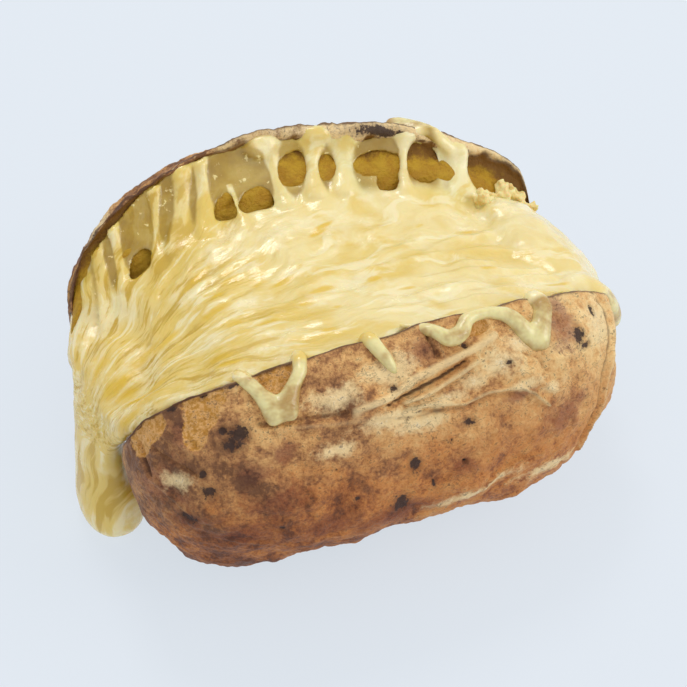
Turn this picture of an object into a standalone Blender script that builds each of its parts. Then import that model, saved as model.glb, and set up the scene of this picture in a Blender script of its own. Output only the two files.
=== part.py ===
"""Baked potato, split open along its top and filled with melted cheese.

The potato lies along X and rests on the plane Z = 0. Its two halves lean apart like an open book,
joined by the uncut flesh between them. The cheese fills the split, stretches up to the back half's rim
in strings, drips over the front half's rim and runs down the left end to the surface below.
Sizes are in millimetres up to `metres`, which turns each point into Blender's metres.
"""

import math

import bmesh
import bpy
from mathutils import Vector, noise

MM = 0.001
GAP = 0.35  # clear distance between the cheese and the potato
SINK = 0.8  # depth of the flat spots that the potato rests on
MIDDLE = Vector((-0.92, 1.865, 0.0))  # centre of the finished shape, which goes over the frame's origin
BITE = 3.0  # how far a cheese shape reaches into the potato before it is cut back to the gap

# Half potatoes. The cut face leans by `lean` degrees from upright about a hinge line near the base.
FRONT = {
    "side": -1,
    "length": 60.6,
    "bulge": 36.0,
    "height": 34.0,
    "lean": 26.5,
    "blunt": 2.8,
    "taper": 0.06,
    "hinge": 1.4,
    "shift": 1.9,
    "yaw": 0.05,
    "seed": 3.1,
}
BACK = {
    "side": 1,
    "length": 60.5,
    "bulge": 34.5,
    "height": 36.8,
    "lean": 36.0,
    "blunt": 2.3,
    "taper": 0.03,
    "hinge": 0.0,
    "shift": 0.5,
    "yaw": 0.0,
    "seed": 7.7,
}
KEEL = {"centre": (0.0, 1.5, 17.0), "radii": (52.0, 20.0, 12.0)}
LUMP = 0.016  # share by which the skin swells and dips
LUMP_SIZE = 24.0
RINGS_ALONG = 24
RINGS_AROUND = 34

POOL = {
    "left": -62.5,
    "right": 64.0,
    "blunt": 4.0,
    "middle": (0.0, -1.0, 34.0),
    "depth": 34.0,
    "dome": 1.6,
    "below_rim": 0.9,
    "back_in": 16.8,
    "back_down": 9.8,
}
CURTAIN = {"middle": -0.5, "half_length": 54.5, "half_depth": 1.3, "sag": 1.2, "bury": 0.12}

# Openings in the curtain: x, share of the way up it, half width, half height
WINDOWS = [
    (-48.5, 0.30, 1.9, 3.6),
    (-41.8, 0.26, 3.4, 3.2),
    (-33.0, 0.42, 2.3, 3.8),
    (-18.0, 0.30, 2.9, 4.2),
    (-10.6, 0.22, 3.2, 4.4),
    (0.8, 0.62, 3.6, 4.6),
    (9.8, 0.64, 2.6, 3.6),
    (22.0, 0.60, 5.4, 4.0),
    (25.0, 0.34, 2.8, 4.4),
    (34.2, 0.52, 3.4, 5.0),
    (47.6, 0.54, 3.6, 3.6),
]


def metres(point):
    return (Vector(point) - MIDDLE) * MM


def wrapped_sphere(name, along, around, place):
    """A closed mesh from a UV sphere whose poles lie at the ends of its length.

    place(t, angle) gives each vertex its point in millimetres, with t from 0 to 1 along the length.
    """
    shape = bmesh.new()
    bmesh.ops.create_uvsphere(shape, u_segments=around, v_segments=along, radius=1.0)
    for vertex in shape.verts:
        t = math.acos(max(-1.0, min(1.0, vertex.co.z))) / math.pi
        angle = math.atan2(vertex.co.y, vertex.co.x) % math.tau
        vertex.co = metres(place(t, angle))
    if shape.calc_volume(signed=True) < 0:
        bmesh.ops.reverse_faces(shape, faces=shape.faces)
    mesh = bpy.data.meshes.new(name)
    shape.to_mesh(mesh)
    shape.free()
    made = bpy.data.objects.new(name, mesh)
    bpy.context.scene.collection.objects.link(made)
    return made


def girth(half, s):
    """The half potato's girth at s, from -1 at its left tip to 1 at its right, as a share of the full one."""
    return (1 - abs(s) ** half["blunt"]) ** (1 / half["blunt"]) * (1 - half["taper"] * s)


def half_local(half, s, angle, grow=0.0):
    """(out, up) of a point in the half's own section: out from the cut face, up along it from the hinge."""
    wave = noise.noise(Vector((s * half["length"] / LUMP_SIZE, 1.5 * math.cos(angle), half["seed"])))
    w = girth(half, s) * (1 + LUMP * 2 * wave)
    cut_side = math.sin(angle) <= 1e-6
    out = -grow if cut_side else (half["bulge"] + grow) * w * math.sin(angle)
    up = half["height"] + (half["height"] + grow) * w * math.cos(angle)
    return out, up


def lean(half, x, out, up):
    """The section's (out, up) turned by the half's lean and set at x, before the half is lowered."""
    tilt = math.radians(half["lean"])
    across = out * math.cos(tilt) + up * math.sin(tilt) + half["hinge"]
    height = up * math.cos(tilt) - out * math.sin(tilt)
    return Vector((x, half["side"] * across + half["yaw"] * x, height))


def lowest(half):
    """Height of the leaning half's lowest point over its hinge line."""
    angles = [math.pi * k / 180 for k in range(1, 180)]
    return min(lean(half, 0, *half_local(half, 0.0, angle)).z for angle in angles)


def on_half(half, s, angle, grow=0.0):
    """A point on the half potato, where it stands."""
    x = half["shift"] + (half["length"] + grow) * s
    point = lean(half, x, *half_local(half, s, angle, grow))
    point.z -= half["lowest"] + SINK
    return point


def make_half(name, half, grow=0.0):
    def place(t, angle):
        return on_half(half, -math.cos(math.pi * t), angle, grow)

    return wrapped_sphere(name, RINGS_ALONG, RINGS_AROUND, place)


def rim(half, x):
    """The top edge of the half's cut face at x."""
    s = (x - half["shift"]) / half["length"]
    return on_half(half, max(-0.985, min(0.985, s)), 0.0)


def make_keel(name, grow=0.0):
    """The uncut flesh that joins the two halves, low down."""
    cx, cy, cz = KEEL["centre"]
    rx, ry, rz = (r + grow for r in KEEL["radii"])

    def place(t, angle):
        ring = math.sin(math.pi * t)
        return (
            cx - rx * math.cos(math.pi * t),
            cy + ry * ring * math.cos(angle),
            cz + rz * ring * math.sin(angle),
        )

    return wrapped_sphere(name, 14, 24, place)


def make_pool(name):
    """The cheese between the halves: its top runs from the front rim to a lip short of the back wall."""
    middle = Vector(POOL["middle"])
    half_length = (POOL["right"] - POOL["left"]) / 2
    centre_x = (POOL["right"] + POOL["left"]) / 2

    def place(t, angle):
        s = -math.cos(math.pi * t)
        x = centre_x + half_length * s
        front, back = rim(FRONT, x), rim(BACK, x)
        share = (1 - math.cos(angle)) / 2
        y = front.y - BITE + share * (back.y - POOL["back_in"] + BITE - front.y + BITE)
        z = front.z - POOL["below_rim"] + share * (back.z - POOL["back_down"] - front.z + POOL["below_rim"])
        bow = math.sin(angle)
        z += bow * (POOL["dome"] if bow > 0 else POOL["depth"])
        w = (1 - abs(s) ** POOL["blunt"]) ** (1 / POOL["blunt"])
        end = Vector((x, middle.y, middle.z))
        return end + (Vector((x, y, z)) - end) * w

    return wrapped_sphere(name, 26, 30, place)


def smooth_path(points, t):
    """A point on the Catmull-Rom curve through points, with t from 0 to 1. Each point may carry radii too."""
    spans = len(points) - 1
    k = min(int(t * spans), spans - 1)
    u = t * spans - k
    p0, p1, p2, p3 = (points[max(0, min(spans, k + j))] for j in (-1, 0, 1, 2))
    return [
        0.5 * (2 * b + (c - a) * u + (2 * a - 5 * b + 4 * c - d) * u * u + (3 * b - a - 3 * c + d) * u**3)
        for a, b, c, d in zip(p0, p1, p2, p3)
    ]


def make_strand(name, points, facing, along=14, around=12):
    """A rounded run of cheese whose flat side faces one way. Each point is (x, y, z, half width, half depth)."""

    def place(t, angle):
        here = smooth_path(points, t)
        ahead = Vector(smooth_path(points, min(1.0, t + 0.02))[:3])
        behind = Vector(smooth_path(points, max(0.0, t - 0.02))[:3])
        run = (ahead - behind).normalized()
        wide = run.cross(Vector(facing)).normalized()
        thick = wide.cross(run)
        round_end = math.sqrt(max(0.0, 1 - abs(2 * t - 1) ** 6))
        sideways = wide * here[3] * round_end * math.cos(angle)
        outwards = thick * here[4] * round_end * math.sin(angle)
        return Vector(here[:3]) + sideways + outwards

    return wrapped_sphere(name, along, around, place)


def slope(x):
    """The curtain's line at x: its foot on the pool's back lip and its top just inside the back rim."""
    top = rim(BACK, x)
    foot = top + Vector((0.0, -POOL["back_in"], -POOL["back_down"]))
    return foot, top + Vector((0.0, -0.6, -1.2))


def make_curtain(name):
    """The stretched cheese between the pool and the back rim, before its windows are cut."""

    def place(t, angle):
        s = -math.cos(math.pi * t)
        foot, top = slope(CURTAIN["middle"] + CURTAIN["half_length"] * s)
        rise = top - foot
        face = Vector((0.0, -rise.z, rise.y)).normalized()
        across = math.copysign(abs(math.cos(angle)) ** 0.6, math.cos(angle))
        w = (1 - abs(s) ** 6) ** (1 / 6)
        reach = 0.5 + (0.5 + CURTAIN["bury"]) * across * w if across < 0 else 0.5 + 0.5 * across * w
        sag = CURTAIN["sag"] * (1 - (2 * max(reach, 0.0) - 1) ** 2)
        return foot + rise * reach + face * (CURTAIN["half_depth"] * w * math.sin(angle) - sag)

    return wrapped_sphere(name, 26, 14, place)


def make_window(name, x, share, half_width, half_height):
    """An egg-shaped cutter through the curtain at x, a share of the way up it."""
    foot, top = slope(x)
    rise = (top - foot).normalized()
    face = Vector((0.0, -rise.z, rise.y))
    centre = foot + (top - foot) * share - face * CURTAIN["sag"]

    def place(t, angle):
        ring = math.sin(math.pi * t)
        out = face * 6.0 * ring * math.sin(angle)
        up = rise * half_height * ring * math.cos(angle)
        return centre + Vector((-half_width * math.cos(math.pi * t), 0.0, 0.0)) + up + out

    return wrapped_sphere(name, 9, 10, place)


def spill_left():
    """The cheese that runs out of the split's left end and down to the surface."""
    return [
        (-41.0, 0.0, 39.0, 15.0, 5.0),
        (-53.5, -1.0, 36.8, 17.5, 6.2),
        (-60.0, -2.0, 27.0, 14.0, 5.8),
        (-61.2, -4.5, 15.0, 10.5, 6.2),
        (-61.5, -6.2, 5.0, 10.5, 7.6),
        (-61.5, -7.0, -4.0, 9.5, 7.4),
    ]


def spill_right():
    """The tongue of cheese that folds over the split's right end."""
    return [
        (41.0, -2.0, 43.0, 14.0, 5.0),
        (54.5, -3.5, 42.5, 17.0, 5.8),
        (61.5, -7.0, 36.0, 12.5, 4.4),
        (63.0, -9.5, 29.0, 7.0, 3.0),
    ]


def over_skin(s, degrees, wide, thick):
    """A drip's point on the front half's skin, with its radii."""
    point = on_half(FRONT, s, math.radians(degrees), 0.25 * thick)
    return (*point, wide, thick)


def drips():
    """Runs of cheese over the front half's rim, each a list of points from the pool down."""
    inside = 4.0

    def from_pool(x, wide, thick):
        edge = rim(FRONT, x)
        return (x, edge.y + inside, edge.z - 0.6, wide, thick)

    fork_left = [from_pool(-38.5, 2.2, 1.8), over_skin(-0.61, 4, 1.9, 1.7)]
    fork_left += [over_skin(-0.55, 10, 2.3, 2.1), over_skin(-0.51, 17, 3.4, 2.6)]
    fork_right = [from_pool(-20.5, 2.2, 1.8), over_skin(-0.39, 4, 1.9, 1.8)]
    fork_right += [over_skin(-0.44, 10, 2.3, 2.1), over_skin(-0.49, 17, 3.2, 2.6)]
    finger = [from_pool(-6.5, 2.6, 1.8), over_skin(-0.12, 4, 2.3, 1.9), over_skin(-0.07, 13.5, 1.3, 1.3)]
    ribbon = [from_pool(5.0, 1.8, 1.5), over_skin(0.12, 3.5, 1.8, 1.7), over_skin(0.20, 8.5, 2.2, 2.0)]
    ribbon += [over_skin(0.29, 2.5, 1.8, 1.7), over_skin(0.40, 1.5, 1.8, 1.7)]
    ribbon += [over_skin(0.48, 8.0, 2.3, 2.0), over_skin(0.535, 17.5, 3.2, 2.6)]
    tongue = [from_pool(40.5, 2.6, 1.8), over_skin(0.60, 4, 2.6, 2.0), over_skin(0.55, 17, 3.0, 2.6)]
    return {
        "fork_left": fork_left,
        "fork_right": fork_right,
        "finger": finger,
        "ribbon": ribbon,
        "tongue": tongue,
    }


def overflows():
    """Runs of cheese over the back half's rim, each from inside the split to the skin behind it."""
    low, high = rim(BACK, -7.0), rim(BACK, 35.0)
    left = [
        (-5.5, low.y - 3.5, low.z - 2.6, 4.0, 1.4),
        (-6.5, low.y - 0.4, low.z + 0.2, 5.2, 1.5),
        (-7.0, low.y + 3.0, low.z + 0.2, 4.0, 1.3),
    ]
    right = [
        (42.0, high.y - 5.5, high.z - 4.8, 2.4, 1.6),
        (37.0, high.y - 0.6, high.z + 0.2, 2.6, 1.7),
        (31.0, high.y + 2.2, high.z + 1.5, 3.2, 1.6),
    ]
    return {"over_left": left, "over_right": right}


def make_material(name, colour, roughness):
    made = bpy.data.materials.new(name)
    made.use_nodes = True
    shader = made.node_tree.nodes["Principled BSDF"]
    shader.inputs["Base Color"].default_value = (*colour, 1.0)
    shader.inputs["Roughness"].default_value = roughness
    shader.inputs["Metallic"].default_value = 0.0
    return made


def hide(helper):
    helper.hide_render = True
    helper.display_type = "WIRE"
    return helper


def combine(target, operation, helpers):
    """A Boolean of the target with every helper, kept as a modifier."""
    group = bpy.data.collections.new(f"{target.name}_{operation.lower()}_{len(target.modifiers)}")
    bpy.context.scene.collection.children.link(group)
    for helper in helpers:
        bpy.context.scene.collection.objects.unlink(helper)
        group.objects.link(hide(helper))
    joined = target.modifiers.new(operation.capitalize(), "BOOLEAN")
    joined.operation = operation
    joined.operand_type = "COLLECTION"
    joined.collection = group
    joined.solver = "EXACT"


def below_table(name):
    """A block under the resting plane, which cuts the flat spots."""
    shape = bmesh.new()
    bmesh.ops.create_cube(shape, size=1.0)
    bmesh.ops.scale(shape, vec=Vector((300.0, 300.0, 60.0)) * MM, verts=shape.verts)
    bmesh.ops.translate(shape, vec=Vector((0.0, 0.0, -30.0)) * MM, verts=shape.verts)
    mesh = bpy.data.meshes.new(name)
    shape.to_mesh(mesh)
    shape.free()
    made = bpy.data.objects.new(name, mesh)
    bpy.context.scene.collection.objects.link(made)
    return made


def make_potato():
    potato = make_half("potato", FRONT)
    combine(potato, "UNION", [make_half("back_half", BACK), make_keel("keel")])
    combine(potato, "DIFFERENCE", [below_table("potato_table")])
    potato.data.materials.append(make_material("potato_skin", (0.42, 0.22, 0.10), 0.75))
    return potato


def make_cheese():
    cheese = make_pool("cheese")
    combine(cheese, "UNION", [make_curtain("curtain")])
    combine(cheese, "DIFFERENCE", [make_window(f"window_{k}", *spot) for k, spot in enumerate(WINDOWS)])
    runs = [
        make_strand("spill_left", spill_left(), (-1.0, 0.0, 1.0), 16, 20),
        make_strand("spill_right", spill_right(), (1.0, 0.0, 1.0), 12, 18),
    ]
    for name, points in {**drips(), **overflows()}.items():
        runs.append(make_strand(name, points, (0.0, -0.4, 0.9), 16 if name == "ribbon" else 11, 10))
    combine(cheese, "UNION", runs)
    grown = [
        make_half("front_room", FRONT, GAP),
        make_half("back_room", BACK, GAP),
        make_keel("keel_room", GAP),
        below_table("cheese_table"),
    ]
    combine(cheese, "DIFFERENCE", grown)
    cheese.data.materials.append(make_material("melted_cheese", (0.84, 0.66, 0.27), 0.35))
    return cheese


def main():
    for old in list(bpy.data.objects):
        bpy.data.objects.remove(old, do_unlink=True)
    for half in (FRONT, BACK):
        half["lowest"] = lowest(half)
    make_potato()
    make_cheese()


main()
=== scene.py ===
import math
import random

import bmesh
import bpy
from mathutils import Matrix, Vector, noise


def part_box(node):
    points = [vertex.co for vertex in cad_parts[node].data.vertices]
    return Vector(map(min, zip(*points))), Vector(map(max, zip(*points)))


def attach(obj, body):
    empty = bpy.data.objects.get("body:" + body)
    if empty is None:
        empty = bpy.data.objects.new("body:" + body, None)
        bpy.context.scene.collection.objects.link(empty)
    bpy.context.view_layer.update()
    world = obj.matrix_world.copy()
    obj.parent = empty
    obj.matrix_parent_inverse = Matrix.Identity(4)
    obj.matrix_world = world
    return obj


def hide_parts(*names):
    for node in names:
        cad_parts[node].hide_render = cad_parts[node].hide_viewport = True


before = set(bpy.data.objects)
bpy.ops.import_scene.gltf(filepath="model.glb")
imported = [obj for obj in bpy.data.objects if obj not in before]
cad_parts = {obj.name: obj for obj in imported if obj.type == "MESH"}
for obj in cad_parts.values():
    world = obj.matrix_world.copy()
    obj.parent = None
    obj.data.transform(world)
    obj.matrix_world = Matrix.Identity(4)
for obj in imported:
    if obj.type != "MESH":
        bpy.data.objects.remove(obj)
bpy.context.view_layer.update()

mm = 0.001

# The two half potatoes, in millimetres about the split's own middle. angle 0 is the rim, pi the hinge.
frontHalf = {
    "side": -1, "length": 60.6, "bulge": 36.0, "height": 34.0, "lean": math.radians(26.5), "blunt": 2.8,
    "taper": 0.06, "hinge": 1.4, "shift": 1.9, "yaw": 0.05, "seed": 3.1,
}
backHalf = {
    "side": 1, "length": 60.5, "bulge": 34.5, "height": 36.8, "lean": math.radians(36.0), "blunt": 2.3,
    "taper": 0.03, "hinge": 0.0, "shift": 0.5, "yaw": 0.0, "seed": 7.7,
}
halfShape = {"lump": 0.016, "lumpSize": 24.0, "sink": 0.8, "leftTip": -60.0, "frontSide": -52.872}

potatoLow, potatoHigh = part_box("potato")
cheeseLow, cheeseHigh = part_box("cheese")
toFrame = Vector((potatoLow.x - halfShape["leftTip"] * mm, potatoLow.y - halfShape["frontSide"] * mm, 0.0))


def inFrame(point):
    return Vector(point) * mm + toFrame


def link(name, shape):
    mesh = bpy.data.meshes.new(name)
    shape.to_mesh(mesh)
    shape.free()
    piece = bpy.data.objects.new(name, mesh)
    bpy.context.scene.collection.objects.link(piece)
    mesh.polygons.foreach_set("use_smooth", [True] * len(mesh.polygons))
    return piece


def sphereShape(along, around, place):
    # a UV sphere with its poles at the ends of the length; place(t, turn) gives each point in millimetres
    shape = bmesh.new()
    bmesh.ops.create_uvsphere(shape, u_segments=around, v_segments=along, radius=1.0)
    for vertex in shape.verts:
        t = math.acos(max(-1.0, min(1.0, vertex.co.z))) / math.pi
        turn = (math.atan2(vertex.co.y, vertex.co.x) / math.tau) % 1.0
        vertex.co = place(t, turn)
    if shape.calc_volume(signed=True) < 0:
        bmesh.ops.reverse_faces(shape, faces=shape.faces)
    return shape


def clamp(value, low=0.0, high=1.0):
    return max(low, min(high, value))


def ease(value):
    value = clamp(value)
    return value * value * (3 - 2 * value)


def grain(point, size, octaves=1):
    # soft noise of about -0.5 to 0.5 whose features are `size` millimetres across
    total, strength = 0.0, 1.0
    where = Vector(point) / size
    for _ in range(octaves):
        total += noise.noise(where) * strength
        where = where * 2.03 + Vector((5.2, 1.3, 9.1))
        strength *= 0.5
    return total


def girth(half, s):
    return (1 - min(1.0, abs(s)) ** half["blunt"]) ** (1 / half["blunt"]) * (1 - half["taper"] * s)


def leaned(half, x, out, up):
    tilt = half["lean"]
    across = out * math.cos(tilt) + up * math.sin(tilt) + half["hinge"]
    height = up * math.cos(tilt) - out * math.sin(tilt)
    return Vector((x, half["side"] * across + half["yaw"] * x, height - half.get("drop", 0.0)))


def onHalf(half, s, angle, grow=0.0, cut=False):
    wave = noise.noise(Vector((s * half["length"] / halfShape["lumpSize"], 1.5 * math.cos(angle), half["seed"])))
    w = girth(half, s) * (1 + halfShape["lump"] * 2 * wave)
    out = -grow if cut else (half["bulge"] + grow) * w * math.sin(angle)
    up = half["height"] + (half["height"] + (0 if cut else grow)) * w * math.cos(angle)
    return leaned(half, half["shift"] + (half["length"] + grow * 0.6) * s, out, up)


for half in (frontHalf, backHalf):
    lowest = min(onHalf(half, 0.0, math.pi * k / 180).z for k in range(1, 180))
    half["drop"] = lowest + halfShape["sink"]


def rim(half, x):
    s = (x - half["shift"]) / half["length"]
    return onHalf(half, clamp(s, -0.985, 0.985), 0.0)


def rimPath(points, t):
    # Catmull-Rom through points, each of which may carry widths after its place
    spans = len(points) - 1
    k = min(int(t * spans), spans - 1)
    u = t * spans - k
    p0, p1, p2, p3 = (points[max(0, min(spans, k + j))] for j in (-1, 0, 1, 2))
    return [
        0.5 * (2 * b + (c - a) * u + (2 * a - 5 * b + 4 * c - d) * u * u + (3 * b - a - 3 * c + d) * u**3)
        for a, b, c, d in zip(p0, p1, p2, p3)
    ]


def strandShape(points, facing, along=24, around=14, blunt=6):
    # a rounded run of cheese: each point is (x, y, z, half width, half depth)
    facing = Vector(facing)

    def place(t, turn):
        here = rimPath(points, t)
        run = Vector(rimPath(points, min(1.0, t + 0.02))[:3]) - Vector(rimPath(points, max(0.0, t - 0.02))[:3])
        run.normalize()
        wide = run.cross(facing).normalized()
        thick = wide.cross(run)
        tip = max(0.0, 1 - abs(2 * t - 1) ** blunt) ** 0.5
        swell = wide * here[3] * tip * math.cos(turn * math.tau) + thick * here[4] * tip * math.sin(turn * math.tau)
        return Vector(here[:3]) + swell

    return sphereShape(along, around, place)


# The rolled lip of skin along the rims, against x; "bare" is how far below the rim the cheese starts
lip = {
    "band": [(-60, 0.9), (-12, 1.0), (0, 1.6), (12, 3.0), (20, 3.8), (28, 3.4), (41, 4.8), (46, 4.0), (51, 1.8),
             (60, 1.0)],
    "raised": [(-60, 0.0), (-45, -0.5), (-30, -0.4), (-18, 0.9), (-8, 2.5), (0, 2.6), (10, 2.0), (20, 1.2), (32, 0.4),
               (42, 0.5), (48, 0.5), (54, 1.4), (60, 3.0)],
    "bare": [(-60, 4.6), (-54, 4.4), (-50, 3.8), (-42, 3.0), (-36, 1.9), (-28, 1.2), (-10, 0.9), (0, 1.2), (12, 2.4),
             (20, 3.2), (28, 2.9), (41, 4.1), (46, 3.5), (52, 2.0)],
    "roll": 1.3, "frontBand": 0.7,
}
leanBack = Vector((0.23, 0.669, -0.707))


def between(table, x):
    for (x0, y0), (x1, y1) in zip(table, table[1:]):
        if x <= x1:
            return y0 + (y1 - y0) * ease((x - x0) / (x1 - x0))
    return table[-1][1]


# Skin: places are (s, degrees down from the rim) on the half, sizes in millimetres

skin = {
    "along": 330, "around": 250, "outerShare": 0.78, "lip": 0.75, "flesh": 0.7, "wall": 3.6,
    "front": {
        "folds": [  # (path, height, half width)
            ([(-0.22, 22), (-0.074, 20.6), (0.03, 16.8), (0.13, 15.2), (0.298, 12.3), (0.37, 9.8)], 1.4, 1.0),
            ([(-0.03, 23.6), (0.05, 23.6), (0.106, 22.4), (0.21, 19.8), (0.29, 17.2)], 1.1, 0.65),
            ([(0.0, 25.0), (0.08, 24.6), (0.2, 22.0), (0.27, 20.0)], -0.5, 0.35),
            ([(-0.56, 17), (-0.346, 20.4), (-0.198, 22.2), (-0.09, 23.0)], -0.55, 0.6),
            ([(-0.09, 23.0), (-0.01, 21.4), (0.046, 20.3), (0.142, 18.7), (0.25, 15.6)], -1.15, 0.34),
            ([(-0.5, 20.2), (-0.346, 23.2), (-0.198, 25.4), (-0.08, 26.6)], 0.5, 0.9),
            ([(-0.03, 26.2), (0.07, 26.8), (0.2, 30.7), (0.302, 29.6), (0.418, 31), (0.478, 35.4), (0.543, 43.6)],
             0.95, 0.42),
            ([(0.02, 28.4), (0.2, 32.4), (0.302, 31.3), (0.41, 32.8), (0.46, 37.4)], -0.4, 0.5),
            ([(0.519, 32.6), (0.567, 37.8), (0.623, 39)], 0.55, 0.6),
            ([(0.9, 3), (0.915, 10), (0.911, 30), (0.855, 51), (0.791, 69), (0.7, 84)], 0.75, 0.6),
            ([(0.876, 4), (0.89, 12), (0.884, 30), (0.83, 51), (0.765, 69), (0.68, 82)], -0.5, 0.6),
            ([(0.82, 22), (0.81, 34), (0.77, 48), (0.7, 62)], 0.35, 0.8),
            ([(0.24, 71), (0.29, 68.9), (0.402, 65.7), (0.519, 65.3)], 0.45, 0.4),
            ([(0.118, 1), (0.128, 6), (0.14, 12)], -0.7, 0.4),
            ([(0.138, 1), (0.149, 6), (0.162, 12)], 0.45, 0.45),
            ([(-0.962, 8), (-0.955, 20), (-0.94, 33)], -1.1, 0.35),
            ([(-0.93, 10), (-0.925, 24), (-0.9, 40)], 0.3, 0.6),
            ([(-0.2, 10), (-0.17, 15), (-0.18, 19)], 0.4, 0.8),
            ([(0.3, 46), (0.24, 50), (0.178, 54)], -0.3, 0.5),
            ([(0.178, 54), (0.2, 60), (0.25, 63)], -0.3, 0.5),
            ([(0.178, 54), (0.12, 58), (0.08, 60)], -0.3, 0.5),
            ([(-0.34, 34), (-0.2, 36), (-0.05, 40)], 0.3, 1.2),
            ([(0.5, 22), (0.6, 26), (0.7, 27)], 0.4, 0.5), ([(0.46, 19), (0.52, 23), (0.55, 29)], -0.4, 0.35),
            ([(0.62, 31), (0.7, 34), (0.78, 44)], 0.35, 0.6), ([(-0.14, 27), (0.0, 30), (0.12, 31)], -0.35, 0.35),
            ([(-0.92, 14), (-0.87, 24), (-0.8, 32)], -0.4, 0.35), ([(-0.9, 8), (-0.85, 14), (-0.78, 24)], 0.35, 0.4),
            ([(-0.95, 30), (-0.9, 44), (-0.82, 54)], 0.4, 0.5), ([(-0.72, 66), (-0.5, 74), (-0.3, 72)], 0.35, 0.7),
            ([(-0.66, 48), (-0.5, 52), (-0.3, 50)], 0.3, 1.0),
            ([(0.4, 44), (0.5, 52), (0.62, 58)], 0.3, 0.9),
        ],
        "scorch": [  # (s, degrees, half width, half height)
            (-0.668, 21.8, 2.5, 1.7), (-0.636, 18.8, 2.5, 2.4), (-0.688, 15.6, 1.3, 1.0), (-0.771, 39.3, 1.6, 1.6),
            (-0.78, 31.4, 1.0, 1.3), (-0.018, 48.7, 1.5, 2.2), (-0.078, 65.3, 2.3, 2.6), (0.206, 38.2, 1.6, 1.0),
            (0.723, 19.5, 1.3, 2.4), (-0.054, 18.0, 1.0, 0.8), (0.178, 54.1, 0.8, 1.0), (0.75, 25.0, 1.5, 0.8),
            (-0.83, 0.5, 1.6, 1.0), (-0.61, 0.5, 1.7, 0.8), (-0.72, 0.0, 1.0, 0.7), (0.25, 10.5, 0.9, 0.8),
            (-0.845, 53.7, 1.9, 1.6), (-0.54, 60.0, 0.8, 0.9), (0.4, 21.0, 0.9, 0.6), (0.82, 10.0, 0.6, 1.5),
            (-0.25, 56.0, 0.7, 0.8), (0.05, 60.0, 0.6, 1.4), (-0.32, 41.0, 0.4, 0.4), (0.13, 43.0, 0.4, 0.7),
        ],
        "purple": [
            (-0.503, 29.2, 4.4, 3.2), (-0.84, 56.0, 6.0, 4.0), (0.655, 12.5, 5.2, 7.5), (-0.81, 11.0, 5.0, 4.0),
            (-0.55, 48.0, 9.0, 6.0), (-0.9, 36.0, 7.0, 10.0), (0.178, 54.1, 5.6, 4.6), (0.42, 34.5, 5.5, 2.6),
            (-0.7, 62.0, 12.0, 6.0), (-0.35, 66.0, 10.0, 5.0),
            (-0.1, 70.0, 18.0, 4.0), (0.6, 52.0, 9.0, 6.0), (-0.62, 35.0, 6.0, 5.0), (0.1, 8.0, 5.0, 4.0),
        ],
        "pale": [
            (0.37, 20.0, 7.5, 5.0), (0.45, 15.0, 5.0, 4.0), (0.26, 24.0, 5.0, 3.0), (-0.27, 16.0, 9.0, 4.2),
            (-0.05, 12.0, 7.0, 5.0), (0.12, 26.5, 9.0, 2.0), (0.44, 30.8, 7.0, 1.6), (-0.1, 28.0, 12.0, 3.0),
            (0.83, 16.0, 5.0, 7.0), (0.25, 71.8, 17.0, 2.4), (0.55, 79.0, 12.0, 3.0), (-0.86, 34.0, 4.0, 3.5),
            (0.56, 36.0, 4.0, 1.8), (-0.3, 33.0, 7.0, 2.6), (0.02, 33.0, 9.0, 2.4),
        ],
        "bare": [  # skin torn away down to the browned flesh
            (-0.72, 1.5, 5.2, 3.4), (-0.745, 8.0, 3.6, 3.6), (-0.772, 13.0, 2.7, 3.2), (-0.783, 17.0, 1.7, 2.0),
            (-0.46, 2.5, 4.6, 3.6), (-0.92, 3.5, 4.0, 3.6), (-0.95, 10.0, 2.0, 3.0), (0.3, 5.0, 4.0, 2.2),
        ],
    },
    "back": {
        "folds": [
            ([(-0.8, 6), (-0.5, 9), (-0.2, 8), (0.1, 10)], 0.45, 0.9),
            ([(-0.6, 15), (-0.2, 18), (0.2, 16), (0.5, 19)], -0.4, 0.7),
            ([(-0.1, 40), (0.2, 44), (0.5, 38)], 0.5, 0.9),
            ([(-0.7, 52), (-0.4, 60), (-0.1, 57)], 0.45, 0.8),
            ([(0.3, 70), (0.5, 62), (0.7, 66)], -0.4, 0.6),
            ([(-0.88, 20), (-0.9, 45), (-0.82, 70)], 0.5, 0.7),
        ],
        "scorch": [
            (0.36, 3.6, 4.5, 1.5), (0.46, 4.2, 4.0, 1.2), (0.54, 3.0, 2.0, 0.9), (-0.985, 4.0, 3.0, 5.0),
            (-0.97, 1.0, 4.0, 3.0), (-0.3, 30.0, 2.0, 1.6), (0.2, 55.0, 1.6, 2.0), (0.6, 40.0, 1.3, 1.1),
            (-0.6, 60.0, 2.2, 1.5), (0.0, 75.0, 1.2, 1.6), (0.88, 2.0, 3.0, 1.2), (0.93, 1.0, 2.5, 1.2),
            (-0.86, 1.0, 2.0, 0.9), (-0.72, 0.6, 2.0, 0.8),
        ],
        "purple": [
            (0.42, 5.0, 9.0, 3.5), (-0.2, 40.0, 10.0, 7.0), (0.5, 60.0, 9.0, 8.0), (-0.7, 35.0, 8.0, 7.0),
            (-0.9, 10.0, 7.0, 7.0), (0.2, 28.0, 8.0, 5.0), (-0.4, 72.0, 12.0, 6.0), (0.78, 12.0, 7.0, 5.0),
        ],
        "pale": [
            (0.0, 5.0, 9.0, 3.5), (0.18, 6.0, 8.0, 3.0), (-0.45, 22.0, 9.0, 5.0), (0.3, 40.0, 9.0, 4.0),
            (0.7, 26.0, 7.0, 5.0), (-0.05, 58.0, 10.0, 4.0), (-0.82, 5.0, 5.0, 3.0),
        ],
        "bare": [(-0.97, 6.0, 3.0, 5.0), (-0.6, 1.0, 4.0, 1.2), (-0.3, 0.8, 4.0, 1.0)],
    },
}


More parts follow.
